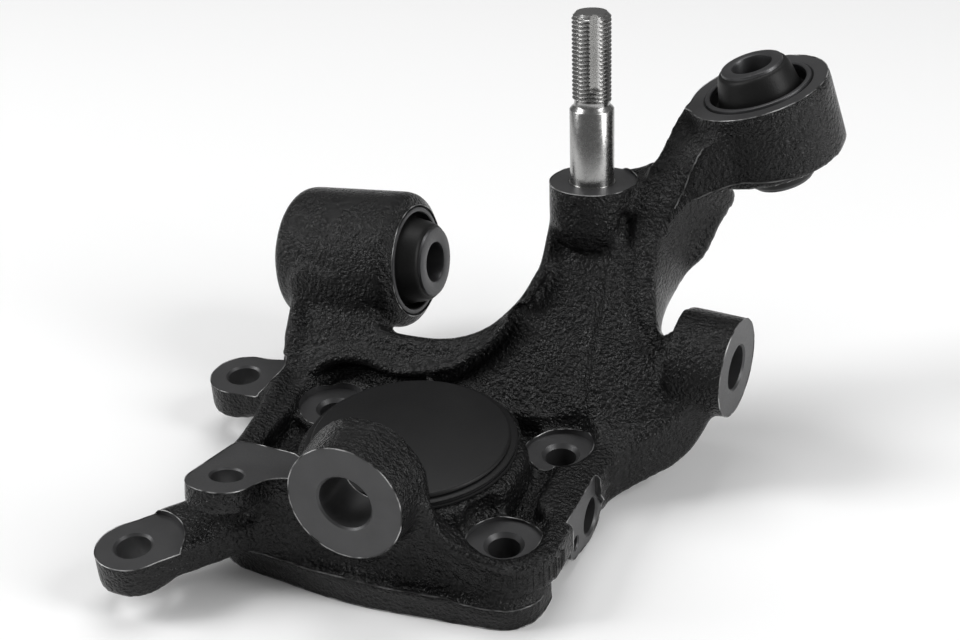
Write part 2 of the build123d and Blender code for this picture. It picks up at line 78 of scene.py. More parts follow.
# ------------------------------------------------------------------ finishes
class Graph:
    """A material's node tree, with short calls to add and join nodes."""

    def __init__(self, name: str) -> None:
        """Start an empty tree with one Principled shader in it.

        Args:
            name: the material's name.
        """
        self.material = bpy.data.materials.new(name)
        self.material.use_nodes = True
        self.tree = self.material.node_tree
        self.shader = self.tree.nodes["Principled BSDF"]
        self.coord = self.tree.nodes.new("ShaderNodeTexCoord")

    def node(self, kind: str, **inputs: object) -> bpy.types.Node:
        """Add a node.

        Args:
            kind: the node's type without its ShaderNode prefix.
            **inputs: socket values by name, with spaces as underscores.

        Returns:
            The new node.
        """
        made = self.tree.nodes.new("ShaderNode" + kind)
        for name, value in inputs.items():
            made.inputs[name.replace("_", " ")].default_value = value
        return made

    def join(self, source: bpy.types.NodeSocket, target: bpy.types.NodeSocket) -> None:
        """Link one socket to another."""
        self.tree.links.new(source, target)

    def noise(self, scale: float, detail: float = 2.0, **more: float) -> bpy.types.Node:
        """Add 3D noise on the piece's own coordinates.

        Args:
            scale: cells per metre.
            detail: octaves.
            **more: other socket values.

        Returns:
            The noise node.
        """
        made = self.node("TexNoise", Scale=scale, Detail=detail, **more)
        self.join(self.coord.outputs["Object"], made.inputs["Vector"])
        return made

    def remap(self, value: bpy.types.NodeSocket, low: float, high: float,
              to_low: float, to_high: float) -> bpy.types.NodeSocket:
        """Map a value's range to another, clamped.

        Args:
            value: the socket to read.
            low: the value that becomes to_low.
            high: the value that becomes to_high.
            to_low: the result at low.
            to_high: the result at high.

        Returns:
            The mapped socket.
        """
        made = self.node("MapRange", From_Min=low, From_Max=high, To_Min=to_low, To_Max=to_high)
        self.join(value, made.inputs["Value"])
        return made.outputs["Result"]

    def colours(self, factor: bpy.types.NodeSocket, dark: tuple, light: tuple) -> None:
        """Send a mix of two colours to the base colour.

        Args:
            factor: 0 for dark, 1 for light.
            dark: the first RGB.
            light: the second RGB.
        """
        ramp = self.tree.nodes.new("ShaderNodeValToRGB")
        ramp.color_ramp.elements[0].color = (*dark, 1)
        ramp.color_ramp.elements[1].color = (*light, 1)
        self.join(factor, ramp.inputs["Fac"])
        self.join(ramp.outputs["Color"], self.shader.inputs["Base Color"])

    def bump(self, height: bpy.types.NodeSocket, distance: float,
             under: bpy.types.Node | None = None) -> bpy.types.Node:
        """Add a bump over another one, and make it the shader's normal.

        Args:
            height: the height socket, 0 to 1.
            distance: the height of 1, in metres.
            under: the bump below it.

        Returns:
            The bump node.
        """
        made = self.node("Bump", Strength=1.0, Distance=distance)
        self.join(height, made.inputs["Height"])
        if under is not None:
            self.join(under.outputs["Normal"], made.inputs["Normal"])
        self.join(made.outputs["Normal"], self.shader.inputs["Normal"])
        return made


@dataclass(frozen=True)
class CoatedCasting:
    """Semi-gloss black coating over a rough sand-cast skin."""

    name: str = "coated_iron"
    grain_mm: float = 1.3
    grain_height_mm: float = 0.42
    fine_mm: float = 0.5
    fine_height_mm: float = 0.03

    def build(self) -> bpy.types.Material:
        """Make the material.

        Returns:
            The node material.
        """
        g = Graph(self.name)
        tone = g.noise(120.0, 3.0)
        g.colours(tone.outputs["Fac"], (0.0035, 0.0035, 0.0036), (0.009, 0.009, 0.0092))
        gloss = g.noise(90.0, 4.0)
        g.join(g.remap(gloss.outputs["Fac"], 0.35, 0.65, 0.2, 0.34), g.shader.inputs["Roughness"])
        g.shader.inputs["Specular IOR Level"].default_value = 0.26
        swell = g.noise(330.0, 2.0)
        under = g.bump(swell.outputs["Fac"], 0.45 * MM)
        grain = g.noise(1000.0 / self.grain_mm, 2.0, Roughness=0.55)
        rough = g.bump(g.remap(grain.outputs["Fac"], 0.32, 0.68, 0.0, 1.0), self.grain_height_mm * MM, under)
        fine = g.noise(1000.0 / self.fine_mm, 1.0)
        g.bump(fine.outputs["Fac"], self.fine_height_mm * MM, rough)
        return g.material


@dataclass(frozen=True)
class MachinedFace:
    """Cut faces and bores of the casting under a thin dark film."""

    name: str = "machined_iron"

    def build(self) -> bpy.types.Material:
        """Make the material.

        Returns:
            The node material.
        """
        g = Graph(self.name)
        tone = g.noise(90.0, 4.0)
        g.colours(tone.outputs["Fac"], (0.05, 0.05, 0.051), (0.08, 0.08, 0.082))
        g.shader.inputs["Metallic"].default_value = 0.55
        fine = g.noise(2200.0, 2.0)
        g.join(g.remap(fine.outputs["Fac"], 0.3, 0.7, 0.36, 0.5), g.shader.inputs["Roughness"])
        g.bump(fine.outputs["Fac"], 0.015 * MM)
        return g.material


@dataclass(frozen=True)
class BareEdge:
    """Thin bare metal where the coating is worn off an edge; made light, it also paints a highlight along the
    edge.
    """

    name: str = "worn_edge_painted_highlight"
    # A high lightness paints a highlight along the edge over the worn metal.
    light: float = 0.42

    def build(self) -> bpy.types.Material:
        """Make the material.

        Returns:
            The node material.
        """
        g = Graph(self.name)
        tone = g.noise(170.0, 2.0)
        bare = (self.light, self.light, self.light)
        g.colours(g.remap(tone.outputs["Fac"], 0.42, 0.62, 0.0, 1.0), (0.03, 0.03, 0.03), bare)
        g.shader.inputs["Metallic"].default_value = 0.6
        g.shader.inputs["Roughness"].default_value = 0.35
        return g.material


@dataclass(frozen=True)
class BushRubber:
    """Matt black moulded rubber."""

    name: str = "bush_rubber"

    def build(self) -> bpy.types.Material:
        """Make the material.

        Returns:
            The node material.
        """
        g = Graph(self.name)
        tone = g.noise(200.0, 4.0)
        g.colours(tone.outputs["Fac"], (0.006, 0.006, 0.006), (0.014, 0.014, 0.014))
        g.shader.inputs["Specular IOR Level"].default_value = 0.2
        g.shader.inputs["Roughness"].default_value = 0.45
        fine = g.noise(1500.0, 3.0)
        g.bump(fine.outputs["Fac"], 0.05 * MM)
        return g.material


@dataclass(frozen=True)
class SleeveSteel:
    """Dark satin steel of the bush sleeves."""

    name: str = "sleeve_steel"

    def build(self) -> bpy.types.Material:
        """Make the material.

        Returns:
            The node material.
        """
        g = Graph(self.name)
        tone = g.noise(150.0, 4.0)
        g.colours(tone.outputs["Fac"], (0.055, 0.055, 0.057), (0.10, 0.10, 0.103))
        g.shader.inputs["Metallic"].default_value = 0.75
        fine = g.noise(1400.0, 2.0)
        g.join(g.remap(fine.outputs["Fac"], 0.3, 0.7, 0.34, 0.46), g.shader.inputs["Roughness"])
        g.bump(fine.outputs["Fac"], 0.01 * MM)
        return g.material


@dataclass(frozen=True)
class StudSteel:
    """Turned or milled steel of the shock stud."""

    name: str
    light: float

    def build(self) -> bpy.types.Material:
        """Make the material.

        Returns:
            The node material.
        """
        g = Graph(self.name)
        tone = g.noise(80.0, 3.0)
        dark = self.light * 0.7
        light = (self.light, self.light, self.light * 0.985)
        g.colours(tone.outputs["Fac"], (dark, dark * 0.99, dark * 0.98), light)
        g.shader.inputs["Metallic"].default_value = 1.0
        fine = g.noise(900.0, 2.0)
        g.join(g.remap(fine.outputs["Fac"], 0.3, 0.7, 0.22, 0.3), g.shader.inputs["Roughness"])
        g.bump(fine.outputs["Fac"], 0.008 * MM)
        return g.material


@dataclass(frozen=True)
class CapPaint:
    """Smooth satin black of the pressed dust cap."""

    name: str = "cap_metal"

    def build(self) -> bpy.types.Material:
        """Make the material.

        Returns:
            The node material.
        """
        g = Graph(self.name)
        tone = g.noise(70.0, 4.0)
        g.colours(tone.outputs["Fac"], (0.008, 0.008, 0.0082), (0.013, 0.013, 0.0133))
        g.shader.inputs["Specular IOR Level"].default_value = 0.22
        fine = g.noise(1200.0, 2.0)
        g.join(g.remap(fine.outputs["Fac"], 0.3, 0.7, 0.4, 0.5), g.shader.inputs["Roughness"])
        g.bump(fine.outputs["Fac"], 0.01 * MM)
        return g.material


# ------------------------------------------------------------------ mesh help
@dataclass(frozen=True)
class AxisFrame:
    """A place and a direction: z runs along the axis."""

    origin: Vector
    direction: Vector

    def matrix(self) -> Matrix:
        """The transform from local millimetres' axes to the part's frame."""
        turn = self.direction.normalized().to_track_quat("Z", "Y").to_matrix().to_4x4()
        return Matrix.Translation(self.origin) @ turn


def lathe(profile: list[tuple[float, float]], place: AxisFrame, segments: int = 96) -> bmesh.types.BMesh:
    """Spin an outline of (radius, height) in millimetres about an axis.

    Args:
        profile: the outline's points; it is closed by itself if no end is on the axis.
        place: the axis.
        segments: steps round the axis.

    Returns:
        A closed mesh in the part's frame.
    """
    bm = bmesh.new()
    verts = [bm.verts.new((r * MM, 0.0, z * MM)) for r, z in profile]
    edges = [bm.edges.new(pair) for pair in zip(verts, verts[1:])]
    if profile[0][0] > 0 or profile[-1][0] > 0:
        edges.append(bm.edges.new((verts[-1], verts[0])))
    bmesh.ops.spin(bm, geom=verts + edges, axis=(0, 0, 1), cent=(0, 0, 0), dvec=(0, 0, 0),
                   angle=math.tau, steps=segments, use_merge=True)
    bmesh.ops.remove_doubles(bm, verts=bm.verts, dist=1e-7)
    bmesh.ops.recalc_face_normals(bm, faces=bm.faces)
    bmesh.ops.transform(bm, matrix=place.matrix(), verts=bm.verts)
    return bm


def prism(outline: list[tuple[float, float]], height: float, place: AxisFrame) -> bmesh.types.BMesh:
    """Raise a flat outline along an axis, with x kept level.

    Args:
        outline: the corners in millimetres.
        height: how far it is raised, in millimetres.
        place: the axis.

    Returns:
        A closed mesh in the part's frame.
    """
    bm = bmesh.new()
    base = bm.faces.new([bm.verts.new((x * MM, y * MM, 0.0)) for x, y in outline])
    raised = bmesh.ops.extrude_face_region(bm, geom=[base])
    top = [v for v in raised["geom"] if isinstance(v, bmesh.types.BMVert)]
    bmesh.ops.translate(bm, verts=top, vec=mm(0, 0, height))
    bmesh.ops.recalc_face_normals(bm, faces=bm.faces)
    flat = place.direction.normalized()
    swing = Vector((0, 0, 1)).rotation_difference(flat).to_matrix().to_4x4()
    bmesh.ops.transform(bm, matrix=Matrix.Translation(place.origin) @ swing, verts=bm.verts)
    return bm


def shade(mesh: bpy.types.Mesh, sharp_deg: float) -> None:
    """Shade a mesh smoothly, but keep edges steeper than an angle sharp."""
    mesh.shade_smooth()
    mesh.set_sharp_from_angle(angle=math.radians(sharp_deg))


def to_object(bm: bmesh.types.BMesh, name: str, materials: list[bpy.types.Material],
              sharp_deg: float = 35.0) -> bpy.types.Object:
    """Turn a mesh into an object with its finish and smooth shading.

    Args:
        bm: the mesh; it is freed.
        name: the object's name.
        materials: its material slots.
        sharp_deg: edges steeper than this stay sharp.

    Returns:
        The new object, linked to the scene.
    """
    mesh = bpy.data.meshes.new(name)
    bm.to_mesh(mesh)
    bm.free()
    for material in materials:
        mesh.materials.append(material)
    shade(mesh, sharp_deg)
    made = bpy.data.objects.new(name, mesh)
    bpy.context.collection.objects.link(made)
    return made


def merge(parts: list[bmesh.types.BMesh]) -> bmesh.types.BMesh:
    """Put several meshes in one.

    Args:
        parts: the meshes; they are freed.

    Returns:
        One mesh with all of them.
    """
    whole = bmesh.new()
    for part in parts:
        carrier = bpy.data.meshes.new("carrier")
        part.to_mesh(carrier)
        part.free()
        whole.from_mesh(carrier)
        bpy.data.meshes.remove(carrier)
    return whole


def skin(rings: list[list[Vector]]) -> bmesh.types.BMesh:
    """Join rings of points to a closed body with flat ends.

    Args:
        rings: the rings along the body, each with the same number of points.

    Returns:
        The closed mesh.
    """
    bm = bmesh.new()
    loops = [[bm.verts.new(point) for point in ring] for ring in rings]
    count = len(rings[0])
    for low, high in zip(loops, loops[1:]):
        for k in range(count):
            bm.faces.new((low[k], low[(k + 1) % count], high[(k + 1) % count], high[k]))
    bm.faces.new(loops[0][::-1])
    bm.faces.new(loops[-1])
    bmesh.ops.recalc_face_normals(bm, faces=bm.faces)
    return bm


def rope(points: list[Vector], radius: float, sides: int = 8) -> bmesh.types.BMesh:
    """A round bead along a line of points.

    Args:
        points: the line, in metres.
        radius: the bead's radius in millimetres.
        sides: flats round the bead.

    Returns:
        A closed tube with flat ends.
    """
    rings = []
    across = None
    for i, point in enumerate(points):
        ahead = (points[min(i + 1, len(points) - 1)] - points[max(i - 1, 0)]).normalized()
        across = ahead.orthogonal() if across is None else across - ahead * across.dot(ahead)
        across.normalize()
        beside = ahead.cross(across)
        turns = [math.tau * k / sides for k in range(sides)]
        rings.append([point + (across * math.cos(t) + beside * math.sin(t)) * radius * MM for t in turns])
    return skin(rings)


def smooth_line(points: list[tuple], steps: int = 6) -> list[tuple]:
    """A curve through points, by the Catmull-Rom rule.

    Args:
        points: the points to pass.
        steps: pieces between two points.

    Returns:
        The denser line.
    """
    ends = [points[0], *points, points[-1]]
    line = []
    for a, b, c, d in zip(ends, ends[1:], ends[2:], ends[3:]):
        for k in range(steps):
            t = k / steps
            line.append(tuple(
                0.5 * (2 * q + (r - p) * t + (2 * p - 5 * q + 4 * r - u) * t * t
                       + (3 * q - p - 3 * r + u) * t ** 3)
                for p, q, r, u in zip(a, b, c, d)
            ))
    return [*line, points[-1]]


def border_lines(obj: bpy.types.Object, least: float, step: float) -> list[list[Vector]]:
    """The sharp lines where an object's two materials meet.

    Args:
        obj: the object.
        least: shorter lines are left out, in millimetres.
        step: the distance between a line's points, in millimetres.

    Returns:
        The lines' points in metres.
    """
    bm = bmesh.new()
    bm.from_mesh(obj.data)
    links: dict[int, list[int]] = {}
    for edge in bm.edges:
        if len(edge.link_faces) == 2 and edge.calc_face_angle(0.0) > math.radians(30):
            if edge.link_faces[0].material_index != edge.link_faces[1].material_index:
                a, b = (vert.index for vert in edge.verts)
                links.setdefault(a, []).append(b)
                links.setdefault(b, []).append(a)
    places = [vert.co.copy() for vert in bm.verts]
    bm.free()
    lines = []
    while links:
        here = next(iter(links))
        line = [here]
        while links.get(here):
            ahead = links[here].pop()
            links[ahead].remove(here)
            line.append(ahead)
            here = ahead
        for index in [key for key in line if not links.get(key)]:
            links.pop(index, None)
        points = [places[line[0]]]
        for index in line[1:]:
            if (places[index] - points[-1]).length > step * MM:
                points.append(places[index])
        if sum((q - p).length for p, q in zip(points, points[1:])) > least * MM:
            lines.append(points)
    return lines


def bake(obj: bpy.types.Object) -> None:
    """Apply an object's modifiers to its mesh.

    Args:
        obj: the object; its old mesh is removed.
    """
    evaluated = obj.evaluated_get(bpy.context.evaluated_depsgraph_get())
    mesh = bpy.data.meshes.new_from_object(evaluated)
    obj.modifiers.clear()
    old, obj.data = obj.data, mesh
    bpy.data.meshes.remove(old)


def cut(target: bpy.types.Object, cutter: bmesh.types.BMesh) -> None:
    """Take a shape away from an object; the new faces get its second material.

    Args:
        target: the object to cut.
        cutter: the shape that goes; it is freed.
    """
    for face in cutter.faces:
        face.material_index = 1
    tool = to_object(cutter, "cutter", list(target.data.materials))
    step = target.modifiers.new("cut", "BOOLEAN")
    step.operation = "DIFFERENCE"
    step.solver = "MANIFOLD"
    step.object = tool
    bake(target)
    bpy.data.objects.remove(tool)


def finish_piece(piece: bpy.types.Object, slot: str, *nodes: str) -> None:
    """Ride a piece on the part and hide the nodes that it stands for.

    Args:
        piece: the finished piece.
        slot: not used.
        *nodes: the solids that it stands for.
    """
    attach(piece, ROOT)
    if nodes:
        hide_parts(*nodes)
    LOG.info("%s: %d faces", piece.name, len(piece.data.polygons))


# ------------------------------------------------------------------ places
def leaning(origin: tuple, direction: tuple, proud: float = 0.0) -> AxisFrame:
    """An axis through a point, moved back along itself.

    Args:
        origin: the point in millimetres.
        direction: the axis.
        proud: how far the axis's start lies behind the point, in millimetres.

    Returns:
        The axis.
    """
    way = Vector(direction).normalized()
    return AxisFrame(mm(*origin) - way * proud * MM, way)


def slope(degrees: float) -> float:
    """The tangent of an angle in degrees."""
    return math.tan(math.radians(degrees))


def on_plate(x: float, up: float, out: float) -> Vector:
    """A point on the leaning back plate.

    Args:
        x: along the plate, in millimetres.
        up: up the plate, in millimetres.
        out: in front of its face, in millimetres.

    Returns:
        The point in metres.
    """
    across, rise = math.sin(PLATE_LEAN), math.cos(PLATE_LEAN)
    return mm(x, PLATE_FOOT + up * across - out * rise, up * rise + out * across)


UP = Vector((0, 0, 1))
OUTWARD = Vector((1, 0, 0))
PLATE_OUT = Vector((0, -math.cos(PLATE_LEAN), math.sin(PLATE_LEAN)))
HUB = AxisFrame(mm(0, 0, 0), UP)
SENSOR = AxisFrame(mm(63.2, 8.1, 9.8), OUTWARD)
LEFT_BUSH = leaning((-25.2, 81.0, 56.3), (1, 0, slope(5.5)), LEFT_PROUD)
RIGHT_BUSH = leaning((88.7, 118.7, 126.8), (slope(-16.3), -slope(4.2), 1))
STUD = leaning((36.0, 89.8, 95.9), (slope(-1.4), slope(5.8), 1))
FRONT_BOSS = leaning((4.0, -56.0, 47.0), (0, -1, slope(4.0)))
RIGHT_BOSS = leaning((99.0, 62.0, 45.0), (1, -slope(5.0), 0))
MIDDLE_LUG = leaning((-42.4, -50.9, 43.4), (0, slope(13.5), 1))


# ------------------------------------------------------------------ casting
@dataclass(frozen=True)
class Bore:
    """A bored hole with its machined face.

    The axis points out of the face; depth goes the other way.
    """

    axis: AxisFrame
    radius: float
    depth: float
    face_radius: float
    bevel: float = 0.8
    face_cut: float = 6.0
    far_bevel: float = 0.8
    open_end: float = 4.0
    faced: bool = True

    def tool(self) -> bmesh.types.BMesh:
        """The cutter that faces the boss and bores its hole.

        Returns:
            A closed mesh in the part's frame.
        """
        r, b, d = self.radius, self.bevel, self.depth
        end = -d - self.open_end
        outline = [
            (0, self.face_cut),
            (self.face_radius, self.face_cut),
            (self.face_radius, 0),
            (r + b, 0),
            (r, -b),
        ]
        if self.open_end > 0:
            outline += [(r, -d + self.far_bevel), (r + self.far_bevel, -d), (r + self.far_bevel, end)]
        else:
            outline += [(r, end)]
        outline.append((0, end))
        return lathe(outline, self.axis)

    def plug(self) -> bmesh.types.BMesh:
        """A cylinder that fills the hole before the casting is cut again.

        Returns:
            A closed mesh in the part's frame.
        """
        r = self.radius + 0.5
        low = -self.depth - (1.0 if self.open_end > 0 else 0.0)
        return lathe([(0, 1.5), (r, 1.5), (r, low), (0, low)], self.axis, 48)


@dataclass
class KnuckleCasting:
    """The casting's skin: stock is added, corners are rounded, then faces are cut."""

    voxel: float = 1.3
    round_steps: int = 6
    stock: float = 2.0
    node: str = "knuckle_casting"
    bores: list[Bore] = field(default_factory=list)

    def plan(self) -> None:
        """List the bores and faces."""
        for x in (-BOLT_X, BOLT_X):
            for y in (-BOLT_Y, BOLT_Y):
                top = AxisFrame(mm(x, y, 19), UP)
                self.bores.append(Bore(top, radius=5.5, depth=19, face_radius=13.0, bevel=1.4, face_cut=3.5))
        for x, y in ((-87.0, 31.7), (-69.6, -71.5)):
            top = AxisFrame(mm(x, y, 22), UP)
            self.bores.append(Bore(top, radius=6.0, depth=12, face_radius=17.5, face_cut=8))
        screw = AxisFrame(mm(63.2, -6.9, 9.3), OUTWARD)
        self.bores += [
            Bore(MIDDLE_LUG, radius=5.5, depth=8.5, face_radius=12.3, bevel=0.6),
            Bore(FRONT_BOSS, radius=9.3, depth=18.5, face_radius=26, bevel=0.7),
            Bore(RIGHT_BOSS, radius=8.0, depth=26.5, face_radius=24, bevel=0.7, open_end=0),
            Bore(RIGHT_BUSH, radius=RIGHT_RADIUS, depth=RIGHT_LENGTH, face_radius=32, face_cut=8),
            Bore(LEFT_BUSH, radius=LEFT_RADIUS, depth=LEFT_LENGTH, face_radius=21.6, face_cut=8, faced=False),
            Bore(STUD, radius=PRESS_RADIUS, depth=PRESS_DEPTH, face_radius=16.4, bevel=0.2, face_cut=12,
                 open_end=0),
            Bore(screw, radius=2.5, depth=14, face_radius=2.6, bevel=0.5, face_cut=3, open_end=0,
                 faced=False),
        ]

    def blank(self) -> bmesh.types.BMesh:
        """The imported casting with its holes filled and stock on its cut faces.

        Returns:
            The mesh, with the beads among it.
        """
        bm = bmesh.new()
        bm.from_mesh(bpy.data.objects[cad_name(self.node)].data)
        bmesh.ops.remove_doubles(bm, verts=bm.verts, dist=2e-6)
        faces = [AxisFrame(mm(0, 0, 0), Vector((0, 0, -1)))]
        faces += [bore.axis for bore in self.bores if bore.faced]
        faces.append(SENSOR)
        for face in faces:
            self.add_stock(bm, face)
        plugs = [bore.plug() for bore in self.bores]
        plugs.append(lathe([(0, 30), (34.5, 30), (34.5, 0.3), (0, 0.3)], HUB))
        plugs.append(lathe([(0, 1.5), (7, 1.5), (7, -33), (0, -33)], SENSOR))
        return merge([bm, *plugs, *self.beads()])

    def beads(self) -> list[bmesh.types.BMesh]:
        """Raised beads and burrs that the mould leaves on the skin.

        Returns:
            One closed mesh for each bead.
        """
        ridge = [(-62, 29.5), (-56.8, 36), (-52, 39.6), (-44.4, 42), (-35, 41.9), (-28.8, 40), (-24, 39.4),
                 (-15.3, 41.2), (-4, 44.8), (3.2, 50), (9, 56), (16, 66.4), (20.6, 76), (24, 86)]
        strip = [(-71.5, 71), (-72.2, 60), (-71.4, 45), (-71.2, 34), (-72.2, 24)]
        made = [
            rope([on_plate(x, u, 0.6) for x, u in smooth_line(ridge)], 2.3),
            rope([on_plate(x, u, -1.6) for x, u in smooth_line(strip)], 2.8),
        ]
        border = [(-72, 38, 26), (-68, 22, 24.3), (-64.3, 4, 23), (-62.8, -14, 23), (-62.8, -34, 23)]
        made.append(rope([mm(*p) for p in smooth_line(border)], 3.4))
        made.append(rope([mm(-42, 56.5, 54), mm(-39, 57.5, 50)], 2.6))
        made.append(self.arm_wall())
        flank = [(78, 122), (76, 115), (73.6, 106), (69.2, 100), (64.5, 94)]
        made.append(rope([on_plate(x, u, -25) for x, u in smooth_line(flank)], 3.2))
        filled = [(49.6, 117), (50.4, 117), (54.2, 102), (57.8, 80.6), (61.8, 66.8), (67.4, 58), (66, 57.6),
                  (58, 62.4), (52.6, 77.6), (49.6, 98)]
        made.append(prism(filled, 3.1, AxisFrame(on_plate(0, 0, -3.0), PLATE_OUT)))
        made.append(rope([mm(44, 104, 91.4), mm(49, 104, 92.4), mm(53, 104, 94.0), mm(56.5, 104, 96.6)], 4.0))
        lip = [(-44, -45.6, 9.2), (-30, -47.8, 9.4), (-15, -49, 9.4), (0, -49.6, 9.4), (15, -49.1, 9.4),
               (25, -48, 9.2), (34, -46.8, 8.6), (41, -45.6, 7.2)]
        made.append(rope([mm(*p) for p in smooth_line(lip)], 2.4))
        made.append(rope([mm(56.6, -13, 22.3), mm(56.4, 0, 22.3), mm(56.6, 14, 22.3), mm(58, 30, 22.3)], 2.4))
        gusset = [(26, -43.2, 44), (27.4, -43.2, 37), (30.3, -43.2, 31), (37, -43, 26.6), (46, -43, 24.4),
                  (54, -43, 23.6)]
        made.append(rope([mm(*p) for p in smooth_line(gusset)], 2.2))
        return made

    def arm_wall(self) -> bmesh.types.BMesh:
        """The wall that the right housing carries down the front of its arm.

        Each section has the wall's foot and height, and its back edge on the arm.

        Returns:
            A closed mesh in the part's frame.
        """
        sections = [
            ((65.7, 83.7, 84.2), 0.8, (56, 93.7, 95.3)),
            ((68.3, 86.0, 87.2), 4.0, (57, 96.0, 99.9)),
            ((70.7, 88.0, 89.6), 8.0, (58.5, 97.7, 103.6)),
            ((72.6, 89.0, 91.0), 13.3, (60, 100.8, 107.5)),
            ((75.0, 90.2, 92.6), 18.0, (61.5, 104.0, 111.5)),
            ((76.7, 91.0, 93.5), 20.6, (62.5, 107.0, 112.6)),
            ((80.0, 92.2, 94.8), 21.4, (66, 111.0, 113)),
            ((88.0, 95.0, 97.0), 19.0, (76, 114.0, 114.0)),
            ((97.0, 99.0, 98.6), 16.0, (90, 116.0, 113.0)),
        ]
        rings = []
        for (x, y, z), high, back in sections:
            rings.append([mm(x, y, z), mm(x, y, z + high), mm(*back), mm(x - 4, y + 12, z + 2)])
        return skin(rings)

    def grooves(self) -> list[bmesh.types.BMesh]:
        """Furrows beside the web's ribs, under its ridge and in the front scoop.

        Returns:
            The cutters, one for each furrow or recess.
        """
        first = [(45.2, 99), (45.5, 87), (45.9, 74), (46.1, 63), (46.4, 52), (46.8, 44), (47.6, 39.5),
                 (50, 37)]
        second = [(50.4, 111.5), (52, 104.6), (55.3, 92), (58.4, 79.6), (61.8, 72.8), (68, 65), (74, 61)]
        under = [(-55, 31, -3.0), (-50, 35, -3.4), (-42, 36.8, -3.6), (-32, 36, -3.6), (-22, 35.8, -3.6),
                 (-12, 38.8, -3.4), (-3, 43.6, -3.2), (6, 51.8, -2.8), (14.5, 62.4, -1.8), (20, 72, 0.2)]
        cheek = [(-66.9, 57.5, 3.4), (-66.6, 54.5, 1.8), (-66, 50, 0.9), (-64.9, 42, 1.2), (-64.2, 35, 2.6),
                 (-63.8, 31, 4)]
        made = [rope([on_plate(x, u, 0.2) for x, u in smooth_line(line)], 2.9) for line in (first, second)]
        made.append(rope([on_plate(*p) for p in smooth_line(under)], 3.4))
        made.append(rope([on_plate(*p) for p in smooth_line(cheek)], 3.2))
        scoop = [(33, -46.5, 22), (39, -46.2, 19.5), (48, -45.8, 18)]
        made.append(rope([mm(*p) for p in smooth_line(scoop)], 3.4))
        for x, y in ((44.4, -25.2), (43.6, 27.6), (-BOLT_X, BOLT_Y)):
            made.append(lathe([(0, 0), (13.3, 0), (14.1, 9), (0, 9)], AxisFrame(mm(x, y, 20.4), UP), 48))
        recess = [(-59, 30), (-55.5, 34.5), (-48, 39), (-38, 39.4), (-28, 38), (-20, 38.2), (-16, 39),
                  (-16, 30)]
        made.append(prism(recess, 9, AxisFrame(on_plate(0, 0, -4.5), PLATE_OUT)))
        made.append(rope([on_plate(89.6, 128, -36), on_plate(90.4, 129, -8)], 7.4, 16))
        under_boss = [(25, 88), (25, 99.5), (27, 98.4), (30, 96.6), (33, 95.7), (36.3, 95.4), (40, 95.8),
                      (43, 96.9), (44.5, 97.6), (44.8, 88)]
        made.append(prism(under_boss, 10, AxisFrame(on_plate(0, 0, -4.0), PLATE_OUT)))
        made.append(lathe([(16.2, -0.8), (17.6, -0.8), (20.5, 3), (20.5, 14), (16.2, 14)], STUD, 64))
        return made

    def grid(self, body: bpy.types.Object) -> None:
        """Join what overlaps into one even skin.

        Args:
            body: the casting's object.
        """
        step = body.modifiers.new("grid", "REMESH")
        step.mode = "VOXEL"
        step.voxel_size = self.voxel * MM

    def add_stock(self, bm: bmesh.types.BMesh, face: AxisFrame) -> None:
        """Raise the faces that lie in a machined plane.

        Args:
            bm: the casting.
            face: the plane, with its outward direction.
        """
        out = face.direction.normalized()
        flat = [
            f
            for f in bm.faces
            if f.normal.dot(out) > 0.999
            and abs((f.calc_center_median() - face.origin).dot(out)) < 0.02 * MM
            and (f.calc_center_median() - face.origin).length < 90 * MM
        ]
        if not flat:
            LOG.warning("no face at %s", tuple(round(c, 4) for c in face.origin))
            return
        raised = bmesh.ops.extrude_face_region(bm, geom=flat)
        verts = [v for v in raised["geom"] if isinstance(v, bmesh.types.BMVert)]
        bmesh.ops.translate(bm, verts=verts, vec=out * self.stock * MM)

    def tools(self) -> list[bmesh.types.BMesh]:
        """Every cutter, in the order of use; cutters that don't meet share a step.

        Returns:
            The cutters.
        """
        hub = lathe([(0, 40), (34, 40), (34, 20.5), (33, 20.5), (33, -8), (0, -8)], HUB, 160)
        floor = lathe([(0, 0), (140, 0), (140, -12), (0, -12)], HUB, 48)
        face = [(-15, 29), (-15, -18), (12, -18), (16, 0), (21, 5), (24, 8), (24, 22), (9, 29)]
        lug = prism(face, 6.0, MIDDLE_LUG)
        pad = [(-27, -15.3), (12, -15.3), (12, 20.5), (-4, 20.5), (-10, 17.5), (-16, 13), (-27, 13)]
        side = prism(pad, 8, AxisFrame(mm(63.2, 0, 0), OUTWARD))
        sensor = lathe([(0, 4), (7.3, 4), (7.3, 0), (6.5, -0.8), (6.5, -32), (0, -32)], SENSOR)
        singles = [bore.tool() for bore in self.bores]
        return [floor, hub, side, sensor, lug, merge(singles[:6]), merge(singles[6:12]), singles[12]]

    def build(self, cast: bpy.types.Material, machined: bpy.types.Material) -> bpy.types.Object:
        """Round the blank like a sand casting, then machine it.

        Args:
            cast: the coated skin.
            machined: the cut faces.

        Returns:
            The finished casting.
        """
        self.plan()
        body = to_object(self.blank(), "knuckle_skin", [cast, machined])
        self.grid(body)
        bake(body)
        for groove in self.grooves():
            cut(body, groove)
        self.grid(body)
        soft = body.modifiers.new("soft", "SMOOTH")
        soft.factor = 0.5
        soft.iterations = self.round_steps
        bake(body)
        LOG.info("blank has %d faces", len(body.data.polygons))
        for tool in self.tools():
            cut(body, tool)
        shade(body.data, 38)
        finish_piece(body, "coated_iron", self.node)
        return body

